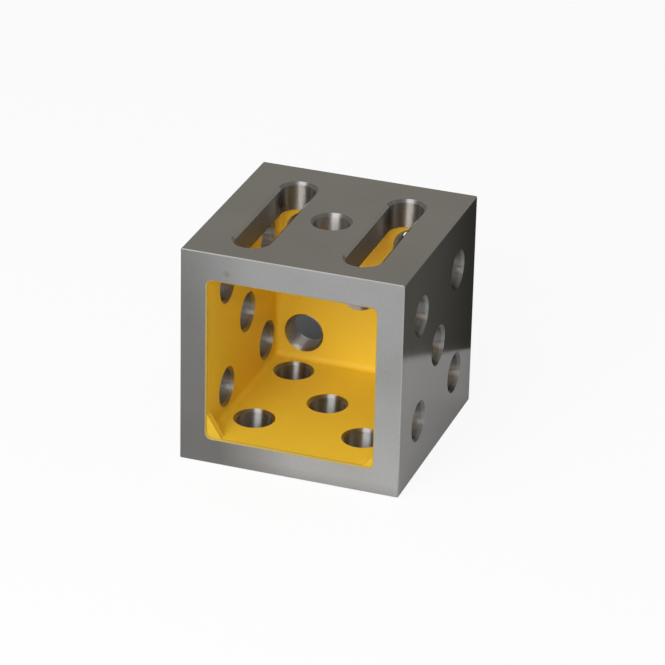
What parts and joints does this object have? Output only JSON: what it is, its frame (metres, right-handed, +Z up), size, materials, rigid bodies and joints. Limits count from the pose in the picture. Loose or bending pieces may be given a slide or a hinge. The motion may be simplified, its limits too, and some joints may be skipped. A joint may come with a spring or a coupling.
{
  "type": "riser block",
  "caption": "Hollow cube of ground cast iron, open at the front, with bolt bores in its walls and two clamp slots in its top; it lifts and holds work on a machine table.",
  "frame": {"origin": "middle of the bottom face, which the block stands on", "axes": "+Z up, out of the slotted top face; +X to the right and +Y from the open front to the back, seen from the front"},
  "size_m": [0.1, 0.1, 0.1],
  "materials": {
    "ground_iron": "ground outer faces and bright machined bores; the hollow is coated with golden yellow enamel"
  },
  "bodies": {
    "root": {"riser_block": "ground_iron"}
  },
  "joints": []
}
